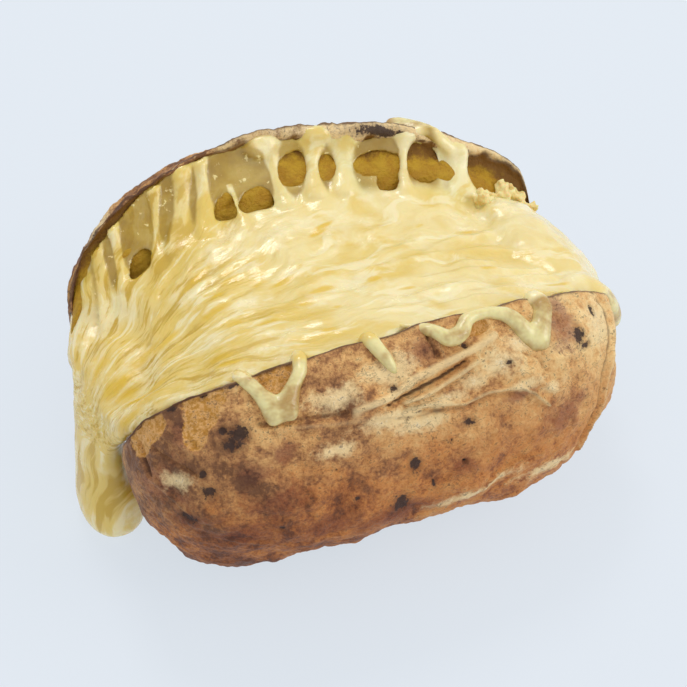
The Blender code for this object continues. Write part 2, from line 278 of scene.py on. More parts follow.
def nearSpot(spots, s, degrees, reach, arc):
    # 1 at a spot's centre, 0 at its edge, below 0 outside
    best = -1.0
    for spotS, spotDegrees, wide, tall in spots:
        along = (s - spotS) * reach / wide
        if abs(along) > 2:
            continue
        down = (degrees - spotDegrees) * arc / tall
        if abs(down) > 2:
            continue
        best = max(best, 1 - math.hypot(along, down))
    return best


def foldHeight(folds, s, degrees, reach, arc):
    total = 0.0
    for path, height, width in folds:
        best = 9.0
        for (s0, d0), (s1, d1) in zip(path, path[1:]):
            ax, ay = (s1 - s0) * reach, (d1 - d0) * arc
            px, py = (s - s0) * reach, (degrees - d0) * arc
            share = clamp((px * ax + py * ay) / (ax * ax + ay * ay + 1e-9))
            best = min(best, math.hypot(px - ax * share, py - ay * share))
            if share <= 0.02 and (s0, d0) == path[0] or share >= 0.98 and (s1, d1) == path[-1]:
                best += 0.15
        if best < 3 * width:
            total += height * math.exp(-((best / width) ** 2))
    return total


def makeHalf(name, half, marks):
    shape = bmesh.new()
    bmesh.ops.create_uvsphere(shape, u_segments=skin["around"], v_segments=skin["along"], radius=1.0)
    names = ("scorch", "purple", "pale", "bare", "edge", "deep", "fold", "inside")
    layers = {key: shape.verts.layers.float.new(key) for key in names}
    reach, outer = half["length"], skin["outerShare"]
    upWay = Vector((0.0, half["side"] * math.sin(half["lean"]), math.cos(half["lean"])))
    cutWay = Vector((0.0, -half["side"] * math.cos(half["lean"]), math.sin(half["lean"])))
    for vertex in shape.verts:
        t = math.acos(clamp(vertex.co.z, -1.0, 1.0)) / math.pi
        turn = (math.atan2(vertex.co.y, vertex.co.x) / math.tau) % 1.0
        s = -math.cos(math.pi * t)
        w = girth(half, s)
        x = half["shift"] + reach * s
        band = between(lip["band"], x) if half is backHalf else lip["frontBand"]
        raised = between(lip["raised"], x) if half is backHalf else 0.3
        if turn < outer:
            share = turn / outer
            angle = math.pi * (share * 0.82 + 0.18 * share * share)  # rows are closer together near the rim
            degrees = math.degrees(angle)
            arc = math.pi / 180 * half["height"] * max(w, 0.15)
            base = onHalf(half, s, angle)
            drop = degrees * arc
            lump = 1.6 * grain(base, 15.0, 2) * ease(drop / 10)
            wrinkle = 0.9 * (abs(grain(base + Vector((0, 0, half["seed"])), 7.0, 2)) - 0.22)
            creases = 0.42 * (abs(grain(base, 2.6)) - 0.2) + 0.16 * grain(base, 0.9)
            folds = foldHeight(marks["folds"], s, degrees, reach, arc)
            vertex[layers["scorch"]] = nearSpot(marks["scorch"], s, degrees, reach, arc)
            vertex[layers["fold"]] = folds
            vertex[layers["purple"]] = nearSpot(marks["purple"], s, degrees, reach, arc)
            vertex[layers["pale"]] = nearSpot(marks["pale"], s, degrees, reach, arc)
            bare = nearSpot(marks["bare"], s, degrees, reach, arc)
            vertex[layers["bare"]] = bare
            vertex[layers["edge"]] = math.exp(-drop / 0.7) * (0.72 if half is frontHalf else 1.0)
            vertex[layers["deep"]] = drop
            grow = lump + wrinkle + creases + 1.5 * folds
            if half is frontHalf:  # flatter above the table, fuller at the right end
                grow -= 3.3 * math.exp(-(((degrees - 106) / 20) ** 2)) * ease((0.6 - abs(s + 0.17)) / 0.35)
                grow += 1.9 * math.exp(-(((degrees - 95) / 30) ** 2)) * ease((s - 0.3) / 0.2) * ease((0.85 - s) / 0.2)
            grow -= 0.55 * ease(bare * 4 + 0.3 * grain(base, 1.2)) + 0.35 * ease(vertex[layers["scorch"]] * 3)
            nearRim = math.exp(-drop / 2.2)
            ragged = (0.6 * grain(base, 3.6, 2) + 0.25 * grain(base, 1.1)) * nearRim
            curl = skin["lip"] * (0.6 + 1.2 * grain(base, 9.0)) * nearRim
            place = onHalf(half, s, angle, grow * ease(w * 3))
            vertex.co = place + cutWay * curl + upWay * (ragged + raised * nearRim)
        else:
            up = 1 - 2 * (1 - (turn - outer) / (1 - outer)) ** 1.7
            angle = math.acos(clamp(up, -1.0, 1.0))
            base = onHalf(half, s, angle, 0.0, True)
            gap = half["height"] * w * (1 - up)
            past = gap - band * (1 + 0.5 * grain(base, 4.0, 2))
            sunk = skin["flesh"] * ease(past / 0.8) * math.exp(-max(past, 0) / 9)
            sunk += 0.6 * grain(base, 5.0, 3) * ease(past / 3)
            if half is backHalf:
                sunk -= skin["wall"] * ease((gap - 4) / 9)
            roll = lip["roll"] * min(1.0, band / 3) * math.sin(math.pi * clamp(gap / band)) ** 0.8
            roll += 0.5 * grain(base, 2.4, 2) * ease(gap / 0.6) * ease(1 - past)
            nearRim = math.exp(-gap / 2.2)
            ragged = (0.6 * grain(base, 3.6, 2) + 0.25 * grain(base, 1.1)) * nearRim
            curl = skin["lip"] * (0.6 + 1.2 * grain(base, 9.0)) * nearRim
            place = onHalf(half, s, angle, -sunk, True)
            vertex.co = place + cutWay * (curl + roll) + upWay * (ragged + raised * nearRim)
            vertex[layers["inside"]] = ease((past + 0.25) / 0.5)
            fade = 0.4 + 0.7 * ease((x - 44) / 6)
            vertex[layers["edge"]] = max(math.exp(-gap / 0.35), math.exp(-abs(past) / fade))
            if half is backHalf:  # the left end's rim is scorched in scallops
                scallop = ease((-24 - x) / 12) * ease(1.4 + 3.2 * grain(base, 3.4, 2) - 0.5 * abs(past))
                vertex[layers["edge"]] = max(vertex[layers["edge"]], 0.95 * scallop * ease((1.6 - past) / 1.2))
            vertex[layers["deep"]] = max(past, 0.0) * (1 - 0.75 * ease((x - 51) / 5))
            along = (x - 24.5) / 8.5
            across = (gap - 1.9 - 0.08 * (x - 24.5)) / 1.3
            vertex[layers["scorch"]] = 1 - math.hypot(along, across) if half is backHalf else -1.0
            vertex[layers["purple"]] = vertex[layers["scorch"]] + 0.6 if half is backHalf else -1.0
            vertex[layers["pale"]] = 0.2 + 0.6 * ease((x + 24) / 14)
            vertex[layers["bare"]] = -1.0
        if half is backHalf:  # blunter ends near the rim
            end = ease((abs(s) - 0.8) / 0.14) * ease(w * 2.5)
            vertex.co.x += end * (1.5 * max(0.0, math.cos(angle)) if s > 0 else -2.0 * ease((angle - 0.12) / 0.5))
        elif s > 0:
            vertex.co.x += 0.9 * ease((s - 0.8) / 0.14)
        vertex.co.z = max(vertex.co.z, 0.0)
        vertex.co = inFrame(vertex.co)
    bmesh.ops.recalc_face_normals(shape, faces=shape.faces)
    if shape.calc_volume(signed=True) < 0:
        bmesh.ops.reverse_faces(shape, faces=shape.faces)
    return link(name, shape)


keel = {"centre": Vector((0.0, 1.5, 17.0)), "radii": Vector((52.0, 20.0, 12.0)), "along": 150, "around": 120}


def makeKeel():
    # the uncut flesh and skin that join the halves low down
    def place(t, turn):
        angle = turn * math.tau
        ring = math.sin(math.pi * t)
        offset = Vector((-math.cos(math.pi * t), ring * math.cos(angle), ring * math.sin(angle)))
        point = keel["centre"] + offset * keel["radii"]
        point += offset * (1.2 * grain(point, 9.0, 2) + 0.5 * (abs(grain(point, 2.8)) - 0.2))
        return inFrame(point)

    return link("keel", sphereShape(keel["along"], keel["around"], place))


# Cheese: the pool between the halves, its runs, and the curtain that it hangs from

pool = {
    "left": -62.0, "right": 63.5, "blunt": 4.0, "middle": (-1.0, 37.0), "under": 7.0, "inside": 0.5,
    "lipIn": 16.8, "lipDown": 9.8, "belowRim": 0.5,
    "sag": [(-62, 9.0), (-52, 8.0), (-44, 6.0), (-30, 4.6), (0, 4.2), (30, 3.6), (50, 2.6), (62, 2.0)],
}


def poolTop(x, share):
    # share 0 is the front rim, 1 the curtain's foot
    front, back = rim(frontHalf, x), rim(backHalf, x)
    lip = back + Vector((0.0, -pool["lipIn"], -pool["lipDown"]))
    start = front + Vector((0.0, pool["inside"], -pool["belowRim"]))
    middle = start.lerp(lip, 0.45) - Vector((0.0, 0.0, between(pool["sag"], x) - 0.45 * 2.0))
    point = start.lerp(lip, share)
    bend = 4 * share * (1 - share)
    point.z += (middle.z - start.lerp(lip, 0.45).z) * bend
    return point


def makePool():
    centreX = (pool["left"] + pool["right"]) / 2
    halfLength = (pool["right"] - pool["left"]) / 2

    def place(t, turn):
        s = -math.cos(math.pi * t)
        x = centreX + halfLength * s
        angle = turn * math.tau
        share = (1 - math.cos(angle)) / 2
        top = poolTop(x, share * 1.07)
        if math.sin(angle) < 0:
            top.z += pool["under"] * math.sin(angle)
        w = (1 - abs(s) ** pool["blunt"]) ** (1 / pool["blunt"])
        tip = Vector((x, *pool["middle"]))
        return tip + (top - tip) * w

    return sphereShape(110, 90, place)


def curtainHigh(x):
    return 1 - (between(lip["bare"], x) - 1.75) / 16.5


def slope(x, share):
    # a point on the curtain: share 0 is its foot on the pool, 1 its top under the back rim
    edge = rim(backHalf, x)
    foot = edge + Vector((0.0, -pool["lipIn"], -pool["lipDown"]))
    top = edge + Vector((0.0, -0.5, -1.1))
    rise = top - foot
    face = Vector((0.0, -rise.z, rise.y)).normalized()
    sag = curtain["sag"] * (1 - (2 * clamp(share) - 1) ** 2)
    place = foot + rise * share - face * sag
    cutFace = Vector((0.0, -math.cos(backHalf["lean"]), math.sin(backHalf["lean"])))
    reach = (edge - place).dot(cutFace) / leanBack.dot(cutFace)  # its top lies back against the flesh
    press = ease((share - curtainHigh(x) + 0.28) / 0.28)
    return place + leanBack * (reach - 0.55) * press, face


curtain = {
    "left": -56.5, "right": 45.5, "columns": 250, "rows": 60, "low": -0.3, "high": 1.03, "sag": 1.3, "depth": 1.0,
    "lean": 5.0,
    "windows": [  # (x, share up, half width, half height as a share)
        (-42.1, 0.18, 2.9, 0.13), (-18.5, 0.24, 2.7, 0.21), (-11.1, 0.165, 4.1, 0.265), (0.7, 0.62, 3.3, 0.22),
        (9.1, 0.58, 1.9, 0.17), (22.6, 0.54, 6.0, 0.165), (23.6, 0.28, 2.5, 0.17), (33.9, 0.57, 3.6, 0.28),
    ],
    "strands": [  # each a list of (x, share up, half width)
        [(-50.9, 0.86, 1.7), (-51.2, 0.7, 1.2), (-51.7, 0.4, 1.4), (-52.5, 0.0, 2.6), (-53.2, -0.3, 3.2)],
        [(-45.8, 0.88, 1.3), (-46.2, 0.6, 0.9), (-46.6, 0.3, 1.0), (-47.0, 0.0, 2.2)],
        [(-34.2, 0.95, 1.6), (-35.0, 0.7, 0.9), (-36.4, 0.36, 0.75), (-37.2, 0.05, 1.9), (-37.8, -0.2, 3.2)],
        [(-26.3, 1.0, 2.4), (-27.4, 0.74, 1.7), (-28.9, 0.49, 1.7), (-31.4, 0.12, 3.2), (-33.0, -0.2, 3.6)],
        [(-21.7, 1.0, 1.7), (-22.2, 0.8, 1.2), (-22.8, 0.55, 1.3), (-24.0, 0.22, 2.2), (-25.0, -0.1, 3.0)],
        [(-16.1, 0.56, 0.7), (-15.9, 0.46, 0.75), (-15.8, 0.27, 0.8), (-15.2, 0.02, 2.0), (-15.0, -0.2, 3.4)],
        [(-4.3, 1.05, 4.2), (-4.0, 0.88, 2.0), (-4.0, 0.6, 1.1), (-3.9, 0.35, 1.3), (-4.2, 0.05, 2.6)],
        [(8.0, 1.06, 4.4), (7.2, 0.85, 2.3), (5.7, 0.64, 1.2), (4.6, 0.4, 1.6), (3.4, 0.12, 3.0)],
        [(15.2, 1.05, 4.8), (14.5, 0.78, 2.6), (12.9, 0.43, 2.3), (11.6, 0.1, 3.6)],
        [(31.6, 1.0, 4.2), (30.6, 0.86, 1.9), (29.9, 0.71, 0.95), (28.2, 0.42, 0.75), (27.1, 0.14, 1.6),
         (26.5, -0.1, 3.2)],
        [(44.0, 1.0, 4.6), (42.5, 0.7, 3.4), (41.8, 0.4, 3.4), (41.0, 0.1, 4.4)],
        [(46.0, 1.0, 2.4), (44.6, 0.6, 1.5), (44.8, 0.25, 2.0), (46.4, -0.1, 3.2)],
    ],
}


def inWindow(x, share):
    deepest = -1.0
    for centre, height, wide, tall in curtain["windows"]:
        along = (x - centre - curtain["lean"] * (share - height)) / wide
        up = (share - height) / tall
        wobble = 0.12 * noise.noise(Vector((x * 0.5, share * 7, centre)))
        deepest = max(deepest, 1 + wobble - (abs(along) ** 2.4 + abs(up) ** 2.4) ** (1 / 2.4))
    return deepest


def makeCurtain():
    shape = bmesh.new()
    bmesh.ops.create_grid(shape, x_segments=curtain["columns"], y_segments=curtain["rows"], size=1.0)
    holes = []
    for vertex in shape.verts:
        x = curtain["left"] + (curtain["right"] - curtain["left"]) * (vertex.co.x + 1) / 2
        share = curtain["low"] + (curtain["high"] - curtain["low"]) * (vertex.co.y + 1) / 2
        top = curtainHigh(x) + 0.05 * noise.noise(Vector((x * 0.35, 3.0, 0.0)))
        top += 0.02 * noise.noise(Vector((x, 1.0, 0.0)))
        if inWindow(x, share) > 0 or share > top:
            holes.append(vertex)
        vertex.co = slope(x, share)[0]
    bmesh.ops.delete(shape, geom=holes, context="VERTS")
    bmesh.ops.solidify(shape, geom=shape.faces[:], thickness=curtain["depth"])
    return shape


def makeStrands():
    made = []
    for strand in curtain["strands"]:
        points = []
        for x, share, width in strand:
            place, face = slope(x, share)
            deep = 0.5 + 0.13 * width
            points.append((*(place + face * 0.1), width, deep))
        made.append(strandShape(points, (0.0, -0.6, 0.8), 36, 16, 8))
    return made


runs = {
    "left": [
        [(-41, 0, 41, 15, 5), (-52, 0, 39.5, 15, 5.5), (-58, 0, 33.5, 12, 5.4), (-60.8, -2.0, 25.5, 9.4, 5.2),
         (-61.8, -4, 14, 9.0, 6.2), (-61.2, -5, 6.5, 10.4, 8.2), (-60.8, -5.5, -1, 10.2, 8),
         (-60.8, -5.5, -5, 9.5, 7)],
        [(-46, -15.6, 46, 3.4, 2.2), (-52, -13.6, 42, 3.4, 2.4), (-56.2, -12, 37.8, 3, 2.4),
         (-59.2, -10.5, 31, 2.6, 2.1), (-61.3, -9.6, 24, 2.2, 2), (-62.4, -9.4, 16, 2.2, 2),
         (-62.6, -10.6, 9, 3, 2.4), (-62, -11, 2, 3.4, 2.6), (-61.5, -10.5, -3, 3, 2)],
        [(-57.4, 6.5, 41.5, 3, 2.4), (-60.2, 3.4, 37, 3, 2.4), (-62, 1.4, 31, 2.6, 2.3), (-63.2, -0.8, 25, 2.4, 2),
         (-65, -2.2, 18.5, 2.6, 2.2), (-65.6, -3.4, 11.5, 3.4, 2.9), (-65, -5.4, 5.4, 3.4, 3)],
        [(-59.5, -15.5, 2.2, 2.6, 3.4), (-60.2, -10.5, 3.2, 4.4, 6.2), (-60.4, -5.0, 3.4, 4.6, 6.8),
         (-60.2, 1.0, 3.2, 4.4, 6.0), (-59.6, 5.5, 2.2, 2.6, 3.4)],
        [(-56.5, 20, 38.6, 4, 3), (-59.4, 14.4, 36.8, 4, 3), (-60.6, 9.2, 35, 4, 3), (-61.6, 4.4, 31.5, 3.6, 2.9),
         (-63.2, 1.4, 26.2, 3, 2.5), (-65, -0.8, 20.4, 2.8, 2.4), (-65.8, -1.8, 13, 3, 2.6)],
    ],
    "leftEdge": [
        [(-46, 32, 48.5, 6, 3), (-53, 28, 43.5, 6, 3.2), (-57, 23, 38.5, 5.5, 3.2), (-58.8, 16, 34.5, 5.5, 3.2),
         (-59.4, 9, 31.5, 5, 3)],
        [(-46, -24, 52, 4.5, 2.6), (-52, -20, 46.5, 4.4, 2.6), (-56, -16, 40, 3.6, 2.4), (-58.4, -13, 32, 2.6, 2)],
    ],
    "right": [
        [(41, -2, 46, 16, 5), (54.5, -2, 45, 19, 5.4), (61.5, -5, 39.5, 15, 4.2), (64, -9.5, 32, 8.5, 3)],
        [(50, -17, 51, 5, 2.6), (57.5, -18, 48, 5, 2.8), (62.2, -18, 43.2, 4.6, 2.6), (64.2, -17, 38, 4.2, 2.2),
         (64.6, -16, 33.5, 3.4, 1.8)],
        [(46, 23.4, 45.8, 8, 3), (54.2, 17, 43.6, 7.6, 3.4), (61.4, 8, 38.8, 6.2, 3), (63.8, 0, 33, 4.4, 2.6)],
    ],
}


def fromPool(x, wide, thick, inside=3.4):
    edge = rim(frontHalf, x)
    return (x, edge.y + inside, edge.z - 0.4, wide, thick)


def overSkin(s, degrees, wide, thick):
    point = onHalf(frontHalf, s, math.radians(degrees), 0.3 * thick)
    return (*point, wide, thick)


def overBack(s, degrees, wide, thick, lift=0.3):
    point = onHalf(backHalf, s, math.radians(degrees), lift * thick)
    return (*point, wide, thick)


def dripRuns():
    forkLeft = [fromPool(-33.6, 2.2, 1.6), overSkin(-0.55, 2.5, 1.8, 1.5), overSkin(-0.52, 8, 2.0, 1.7),
                overSkin(-0.488, 14, 3.2, 2.2), overSkin(-0.47, 18.6, 3.6, 2.0)]
    forkRight = [fromPool(-19.5, 2.2, 1.6), overSkin(-0.365, 2.5, 1.7, 1.6), overSkin(-0.405, 7.5, 1.8, 1.8),
                 overSkin(-0.447, 13.5, 2.9, 2.2), overSkin(-0.466, 18.4, 3.4, 2.0)]
    finger = [fromPool(-4.0, 2.4, 1.7), overSkin(-0.078, 2.5, 1.8, 1.7), overSkin(-0.052, 8.5, 1.5, 1.6),
              overSkin(-0.032, 13.8, 1.0, 1.1)]
    ribbon = [fromPool(3.5, 1.6, 1.2), fromPool(7.5, 1.7, 1.5, 1.0), overSkin(0.15, 3.0, 1.7, 1.6),
              overSkin(0.195, 6.6, 2.1, 1.8), overSkin(0.245, 5.8, 2.1, 1.8), overSkin(0.285, 1.8, 1.7, 1.5),
              overSkin(0.345, 0.6, 1.6, 1.5), overSkin(0.405, 1.4, 1.8, 1.6), overSkin(0.455, 4.6, 2.0, 1.8),
              overSkin(0.495, 11.5, 2.6, 2.2), overSkin(0.53, 20.4, 2.9, 2.3)]
    tongue = [fromPool(36.0, 2.8, 1.6, 2.4), overSkin(0.6, 2.5, 2.4, 1.8), overSkin(0.58, 8.5, 2.4, 2.1),
              overSkin(0.545, 15, 2.9, 2.4), overSkin(0.533, 20.6, 2.9, 2.2)]
    return [forkLeft, forkRight, finger, ribbon, tongue]


def overflowRuns():
    low, high = rim(backHalf, -7.0), rim(backHalf, 35.0)
    left = [(-5.0, low.y - 3.6, low.z - 2.8, 3.6, 1.0), (-6.0, low.y - 0.6, low.z - 0.1, 5.0, 1.2),
            overBack(-0.125, 3.5, 5.0, 1.2), overBack(-0.13, 8.0, 3.4, 1.0)]
    middle = [(8.0, low.y - 2.6, low.z - 2.0, 4.2, 1.0), (8.5, low.y - 0.4, low.z + 0.1, 3.8, 1.1),
              overBack(0.135, 4.0, 3.0, 0.9)]
    right = [(43.4, high.y - 6.6, high.z - 7.2, 1.8, 1.0), (41.0, high.y - 4.0, high.z - 3.6, 1.9, 1.1),
             (37.6, high.y - 1.0, high.z - 0.7, 1.9, 1.3), overBack(0.545, 3.2, 2.6, 1.4, 0.1),
             overBack(0.49, 7.2, 3.2, 1.4, 0.1), overBack(0.45, 8.6, 2.6, 1.1, 0.1)]
    return [left, middle, right]


fibres = {"count": 110, "seed": 11, "length": (10.0, 34.0), "radius": (0.4, 1.1), "fan": Vector((-72.0, -12.0, 0.0))}


def makeFibres():
    # stretched shreds half sunk in the pool, fanning out from where the cheese runs off the left end
    draw = random.Random(fibres["seed"])
    made = []
    for _ in range(fibres["count"]):
        x = draw.uniform(-54.0, 56.0) if draw.random() < 0.55 else draw.uniform(-54.0, -5.0)
        share = draw.uniform(0.06, 0.97)
        length = draw.uniform(*fibres["length"])
        width = draw.uniform(*fibres["radius"])
        start = poolTop(x, share)
        away = (Vector((start.x, start.y, 0)) - fibres["fan"]).normalized()
        away.y += draw.uniform(-0.12, 0.12)
        points = []
        for k in range(5):
            step = (k / 4 - 0.5) * length
            px, py = start.x + away.x * step, start.y + away.y * step
            if px < -57 or px > 58:
                break
            front, back = rim(frontHalf, px), rim(backHalf, px)
            sharePoint = (py - front.y) / (back.y - pool["lipIn"] - front.y)
            if sharePoint < 0.03 or sharePoint > 1.0:
                break
            top = poolTop(px, sharePoint)
            thin = width * (0.45 + 0.55 * math.sin(math.pi * (0.12 + 0.76 * k / 4)))
            points.append((top.x, top.y, top.z - 0.45 * width + draw.uniform(-0.1, 0.15), thin * 1.7, thin * 0.9))
        if len(points) == 5:
            made.append(strandShape(points, (0.0, 0.0, 1.0), 14, 8))
    return made


blend = {"massVoxel": 0.9, "massRounds": 14, "voxel": 0.6, "rounds": 7}


def dropScraps(mesh, fewest=400):
    # islands with fewer vertices than this are stray scraps of the remesh
    whole = bmesh.new()
    whole.from_mesh(mesh)
    seen, scraps = set(), []
    for start in whole.verts:
        if start in seen:
            continue
        island, reached = {start}, [start]
        while reached:
            for edge in reached.pop().link_edges:
                for vertex in edge.verts:
                    if vertex not in island:
                        island.add(vertex)
                        reached.append(vertex)
        seen |= island
        if len(island) < fewest:
            scraps.extend(island)
    bmesh.ops.delete(whole, geom=scraps, context="VERTS")
    whole.to_mesh(mesh)
    whole.free()


def fuse(name, shapes, voxel, rounds):
    # one skin round all the shapes, softened where they meet
    whole = bmesh.new()
    for shape in shapes:
        step = bpy.data.meshes.new("step")
        shape.to_mesh(step)
        shape.free()
        whole.from_mesh(step)
        bpy.data.meshes.remove(step)
    piece = link(name, whole)
    wrap = piece.modifiers.new("Wrap", "REMESH")
    wrap.mode = "VOXEL"
    wrap.voxel_size = voxel
    wrap.adaptivity = 0.0
    soften = piece.modifiers.new("Soften", "SMOOTH")
    soften.factor = 0.5
    soften.iterations = rounds
    bpy.context.view_layer.update()
    done = bpy.data.meshes.new_from_object(piece.evaluated_get(bpy.context.evaluated_depsgraph_get()))
    dropScraps(done)
    piece.modifiers.clear()
    rough = piece.data
    piece.data = done
    bpy.data.meshes.remove(rough)
    done.name = name
    return piece


relief = {"streak": 0.13, "fine": 0.06, "swell": 0.85, "dimple": 0.14}


def flowOf(point):
    # polar place round the fan's centre: (distance, side to side, height)
    away = Vector((point.x, point.y, 0.0)) - fibres["fan"]
    wander = 2.6 * grain(point, 16.0, 2) + 0.8 * grain(point, 5.0)
    level = Vector((away.length, math.atan2(away.y, away.x) * 45.0 + wander, point.z))
    # down the left run
    falling = Vector((70.0 - point.z * 0.6, point.y * 0.8 - point.x * 0.3 + wander, point.x * 0.2))
    return level.lerp(falling, ease((38 - point.z) / 12) * ease((-48 - point.x) / 7))


def streakAt(flow, drop):
    wide = noise.noise(Vector((flow.x / 15, flow.y * 0.42, drop / 9)))
    narrow = noise.noise(Vector((flow.x / 8, flow.y * 1.1 + 7, drop / 6)))
    return wide + 0.5 * narrow


goldMarks = {
    "seed": 7, "count": 34, "from": -59.0, "to": 52.0, "crowd": 1.35, "across": (0.1, 0.68),
    "length": (1.5, 3.2), "width": (0.7, 1.2), "longer": 2.2, "wider": 0.5,
}


def scatterGold():
    # golden flecks (x, y, half length along the flow, half width), more and longer towards the left end
    draw = random.Random(goldMarks["seed"])
    made = []
    for _ in range(goldMarks["count"]):
        x = goldMarks["from"] + (goldMarks["to"] - goldMarks["from"]) * draw.random() ** goldMarks["crowd"]
        front, back = rim(frontHalf, x), rim(backHalf, x)
        y = front.y + (back.y - front.y) * draw.uniform(*goldMarks["across"])
        left = ease((10 - x) / 50)
        made.append((x, y, draw.uniform(*goldMarks["length"]) + goldMarks["longer"] * left,
                     draw.uniform(*goldMarks["width"]) + goldMarks["wider"] * left))
    return made


def makeCheese():
    flecks = scatterGold()
    mass = [makePool()] + [strandShape(points, (-1, 0, 1), 40, 26) for points in runs["left"] + runs["leftEdge"]]
    mass += [strandShape(points, (1, 0, 1), 34, 24) for points in runs["right"]]
    body = fuse("mass", mass, blend["massVoxel"], blend["massRounds"])
    core = bmesh.new()
    core.from_mesh(body.data)
    bpy.data.objects.remove(body)
    parts = [core, makeCurtain()] + makeStrands() + makeFibres()
    parts += [strandShape(points, (0.0, -0.4, 0.9), 60 if len(points) > 6 else 30, 16) for points in dripRuns()]
    parts += [strandShape(points, (0.0, -0.3, 0.95), 26, 16) for points in overflowRuns()]
    cheese = fuse("cheeseMelt", parts, blend["voxel"], blend["rounds"])
    mesh = cheese.data
    bpy.context.view_layer.update()
    names = ("streak", "film", "drip", "gold", "stretched")
    values = {key: [] for key in names}
    flows, moved = [], []
    for vertex in mesh.vertices:
        point = vertex.co.copy()
        front, back = rim(frontHalf, point.x), rim(backHalf, point.x)
        flow = flowOf(point)
        streak = streakAt(flow, point.z * 0.4)
        onSkin = clamp((front.y - point.y) / 1.2) if point.x > -54 else 0.0
        overRim = clamp((point.y - back.y + 0.6) / 1.2)
        drip = max(onSkin, overRim)
        foot = back + Vector((0.0, -pool["lipIn"], -pool["lipDown"]))
        share = clamp(((point.y - foot.y) * 0.669 + (point.z - foot.z) * 0.707) / 16.9)
        high = ease(share * 3.0) * (1 - drip)
        strandNear = 9.0
        if share > 0.02 and drip < 0.9:
            for strand in curtain["strands"]:
                for (x0, s0, w0), (x1, s1, w1) in zip(strand, strand[1:]):
                    if s1 <= share <= s0 or s0 <= share <= s1:
                        part = (share - s0) / (s1 - s0)
                        wide = w0 + (w1 - w0) * part
                        strandNear = min(strandNear, abs(point.x - x0 - (x1 - x0) * part) / wide)
        film = high * ease((strandNear - 0.6) / 1.1) * ease((point.x + 56) / 4) * ease((47.5 - point.x) / 3)
        stretched = ease((-6 - point.x) / 34)
        swell = relief["swell"] * grain(point, 11.0, 2) * (1 - drip) * (1 - 0.8 * film)
        swell += relief["dimple"] * grain(Vector((flow.x * 0.6, flow.y, point.z)), 2.6, 2) * (1 - 0.5 * drip)
        push = relief["streak"] * streak * (1 - 0.75 * drip) * (1 - 0.7 * film) * (0.5 + 0.5 * stretched)
        push += relief["fine"] * noise.noise(Vector((flow.x / 5, flow.y * 2.4, point.z / 3))) * (1 - drip)
        calm = 1 - 0.6 * ease((34 - point.z) / 10) if point.x < -50 else 1.0  # the run down the left end is smoother
        moved.append(point + vertex.normal * (swell + push) * calm)
        stretched += 0.35 * ease((32 - point.z) / 14) * ease((-48 - point.x) / 8)
        gold = -1.0
        for gx, gy, length, width in flecks:
            if abs(point.x - gx) < 14 and abs(point.y - gy) < 14:
                way = (Vector((gx, gy, 0)) - fibres["fan"]).normalized()
                along = (point.x - gx) * way.x + (point.y - gy) * way.y
                aside = (point.y - gy) * way.x - (point.x - gx) * way.y
                gold = max(gold, 1 - math.hypot(along / length, aside / width))
        values["streak"].append(streak)
        values["film"].append(film)
        values["drip"].append(drip)
        values["gold"].append(gold)
        values["stretched"].append(stretched)
        flows.extend(flow)
    for vertex, place in zip(mesh.vertices, moved):
        place.z = max(place.z, 0.0)
        vertex.co = inFrame(place)
    for key in names:
        mesh.attributes.new(key, "FLOAT", "POINT").data.foreach_set("value", values[key])
    mesh.attributes.new("flow", "FLOAT_VECTOR", "POINT").data.foreach_set("vector", flows)
    mesh.polygons.foreach_set("use_smooth", [True] * len(mesh.polygons))
    print("cheeseMelt: %d triangles" % sum(len(face.vertices) - 2 for face in mesh.polygons))
    return cheese


crumbs = {
    "seed": 5, "size": (0.9, 2.0), "count": 60, "thick": 0.9,
    "path": [(45.0, 22.5, 46.8), (47.5, 25.0, 46.4), (50.5, 26.8, 45.6), (53.6, 27.2, 45.0), (57.3, 25.6, 42.8),
             (59.6, 23.6, 40.6)],
}


def makeCrumbs():
    # fluffy broken flesh at the right end of the back half
    draw = random.Random(crumbs["seed"])
    whole = bmesh.new()
    for k in range(crumbs["count"]):
        centre = Vector(rimPath(crumbs["path"], (k + 0.5) / crumbs["count"]))
        centre += Vector((draw.uniform(-1.2, 1.2), draw.uniform(-4.0, 0.4), draw.uniform(-2.8, 1.7)))
        lump = bmesh.ops.create_icosphere(whole, subdivisions=3, radius=draw.uniform(*crumbs["size"]))["verts"]
        for vertex in lump:
            vertex.co += vertex.co * crumbs["thick"] * grain(vertex.co + centre, 1.2, 2)
            vertex.co += centre
    piece = fuse("fleshCrumbs", [whole], 0.35, 1)
    for vertex in piece.data.vertices:
        vertex.co = inFrame(vertex.co)
    piece.data.polygons.foreach_set("use_smooth", [True] * len(piece.data.polygons))
    return piece


# Materials


def newMaterial(name):
    made = bpy.data.materials.new(name)
    made.use_nodes = True
    return made, made.node_tree, made.node_tree.nodes["Principled BSDF"]


def addNode(tree, kind, **settings):
    node = tree.nodes.new(kind)
    for key, value in settings.items():
        setattr(node, key, value)
    return node


def reading(tree, name):
    return addNode(tree, "ShaderNodeAttribute", attribute_name=name)


def field(tree, name):
    return reading(tree, name).outputs["Fac"]


def noiseNode(tree, where, scale, detail=4.0, rough=0.6, stretch=None):
    texture = addNode(tree, "ShaderNodeTexNoise")
    texture.inputs["Scale"].default_value = scale
    texture.inputs["Detail"].default_value = detail
    texture.inputs["Roughness"].default_value = rough
    if stretch:
        mapping = addNode(tree, "ShaderNodeMapping")
        mapping.inputs["Scale"].default_value = stretch
        tree.links.new(where, mapping.inputs["Vector"])
        where = mapping.outputs["Vector"]
    tree.links.new(where, texture.inputs["Vector"])
    return texture.outputs["Fac"]


def sumOf(tree, first, second, kind="ADD", clampIt=False):
    node = addNode(tree, "ShaderNodeMath", operation=kind, use_clamp=clampIt)
    for socket, value in zip(node.inputs, (first, second)):
        if isinstance(value, (int, float)):
            socket.default_value = value
        else:
            tree.links.new(value, socket)
    return node.outputs[0]


